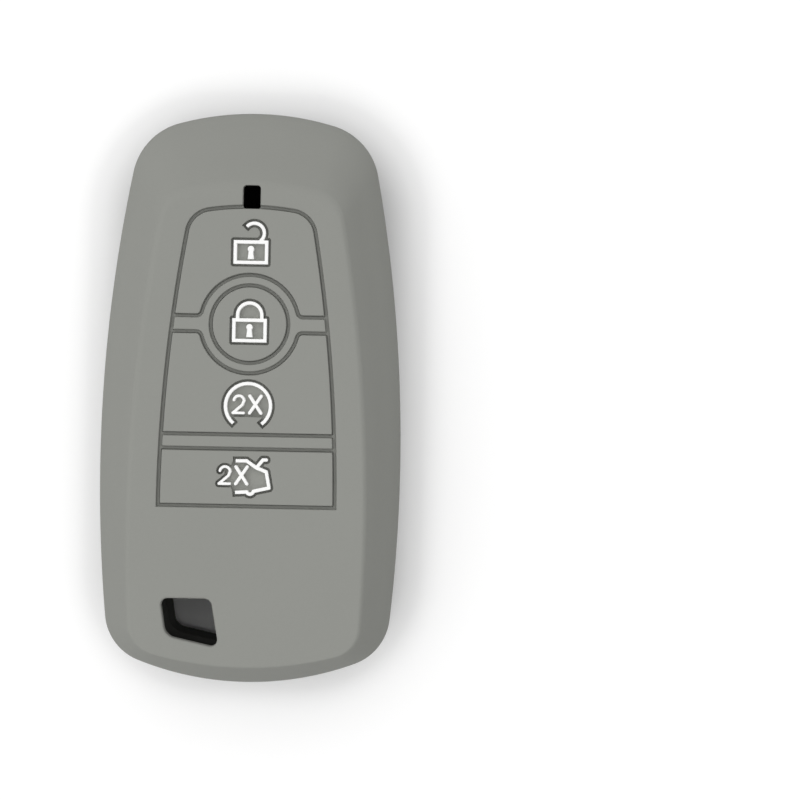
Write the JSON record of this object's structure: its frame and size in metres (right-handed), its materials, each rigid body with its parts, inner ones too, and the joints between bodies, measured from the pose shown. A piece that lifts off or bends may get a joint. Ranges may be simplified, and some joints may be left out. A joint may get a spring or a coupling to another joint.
{
  "type": "key fob cover",
  "caption": "Soft silicone cover for a car key fob: bevelled bar shell with press pads, light slot, key-ring window, oval back window and an end mouth that stretches over the fob.",
  "frame": {"origin": "middle of the flat back panel, below the centre of the plan outline", "axes": "+Z out of the front face, +Y along the cover towards the light slot, +X to the right of the front"},
  "size_m": [0.0432, 0.082, 0.018],
  "materials": {
    "grey_silicone": "matte moulded silicone",
    "grey_silicone_pads": "matte moulded silicone",
    "white_silicone_ink": "matte white silicone fill"
  },
  "bodies": {
    "cover": {"cover_skin": "grey_silicone"},
    "unlock_button": {"unlock_pad": "grey_silicone_pads", "unlock_padlock": "white_silicone_ink", "unlock_keyhole": "white_silicone_ink"},
    "lock_button": {"lock_pad": "grey_silicone_pads", "lock_padlock": "white_silicone_ink", "lock_keyhole": "white_silicone_ink"},
    "start_button": {"start_pad": "grey_silicone_pads", "start_ring": "white_silicone_ink", "start_two": "white_silicone_ink", "start_times": "white_silicone_ink"},
    "boot_button": {"boot_pad": "grey_silicone_pads", "boot_outline": "white_silicone_ink", "boot_two": "white_silicone_ink", "boot_times": "white_silicone_ink"}
  },
  "joints": [
    {"name": "unlock_press", "type": "slide", "parent": "cover", "child": "unlock_button", "axis": [0, 0, -1], "range_m": [0, 0.0007], "stiffness_N_per_m": 1500, "springref_m": -0.0001},
    {"name": "lock_press", "type": "slide", "parent": "cover", "child": "lock_button", "axis": [0, 0, -1], "range_m": [0, 0.0007], "stiffness_N_per_m": 1500, "springref_m": -0.0001},
    {"name": "start_press", "type": "slide", "parent": "cover", "child": "start_button", "axis": [0, 0, -1], "range_m": [0, 0.0007], "stiffness_N_per_m": 1500, "springref_m": -0.0001},
    {"name": "boot_press", "type": "slide", "parent": "cover", "child": "boot_button", "axis": [0, 0, -1], "range_m": [0, 0.0007], "stiffness_N_per_m": 1500, "springref_m": -0.0001}
  ]
}
